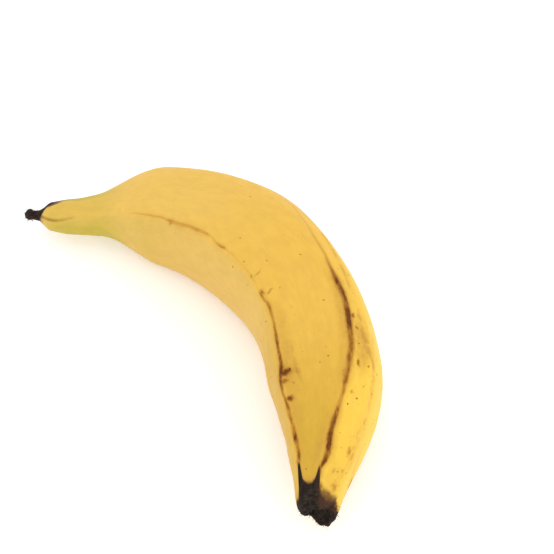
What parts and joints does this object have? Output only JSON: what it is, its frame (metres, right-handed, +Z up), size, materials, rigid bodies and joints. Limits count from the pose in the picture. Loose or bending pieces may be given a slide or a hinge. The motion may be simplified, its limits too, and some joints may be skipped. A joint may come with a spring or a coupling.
{
  "type": "banana",
  "caption": "Curved ripe banana lying on its side, with a tapered neck, soft lengthwise ridges and a dried blossom end.",
  "frame": {"origin": "middle of the banana's bounding box in X and Y, on the surface that it lies on", "axes": "+X from the stem end to the blossom end, +Y towards the outer curve, +Z up from the surface"},
  "size_m": [0.1658, 0.069, 0.0393],
  "materials": {
    "peel": "ripe yellow banana peel, smooth and slightly waxy, with thin brown ridge lines, small specks, a greenish neck and dried black ends"
  },
  "bodies": {
    "root": {"banana": "peel"}
  },
  "joints": []
}
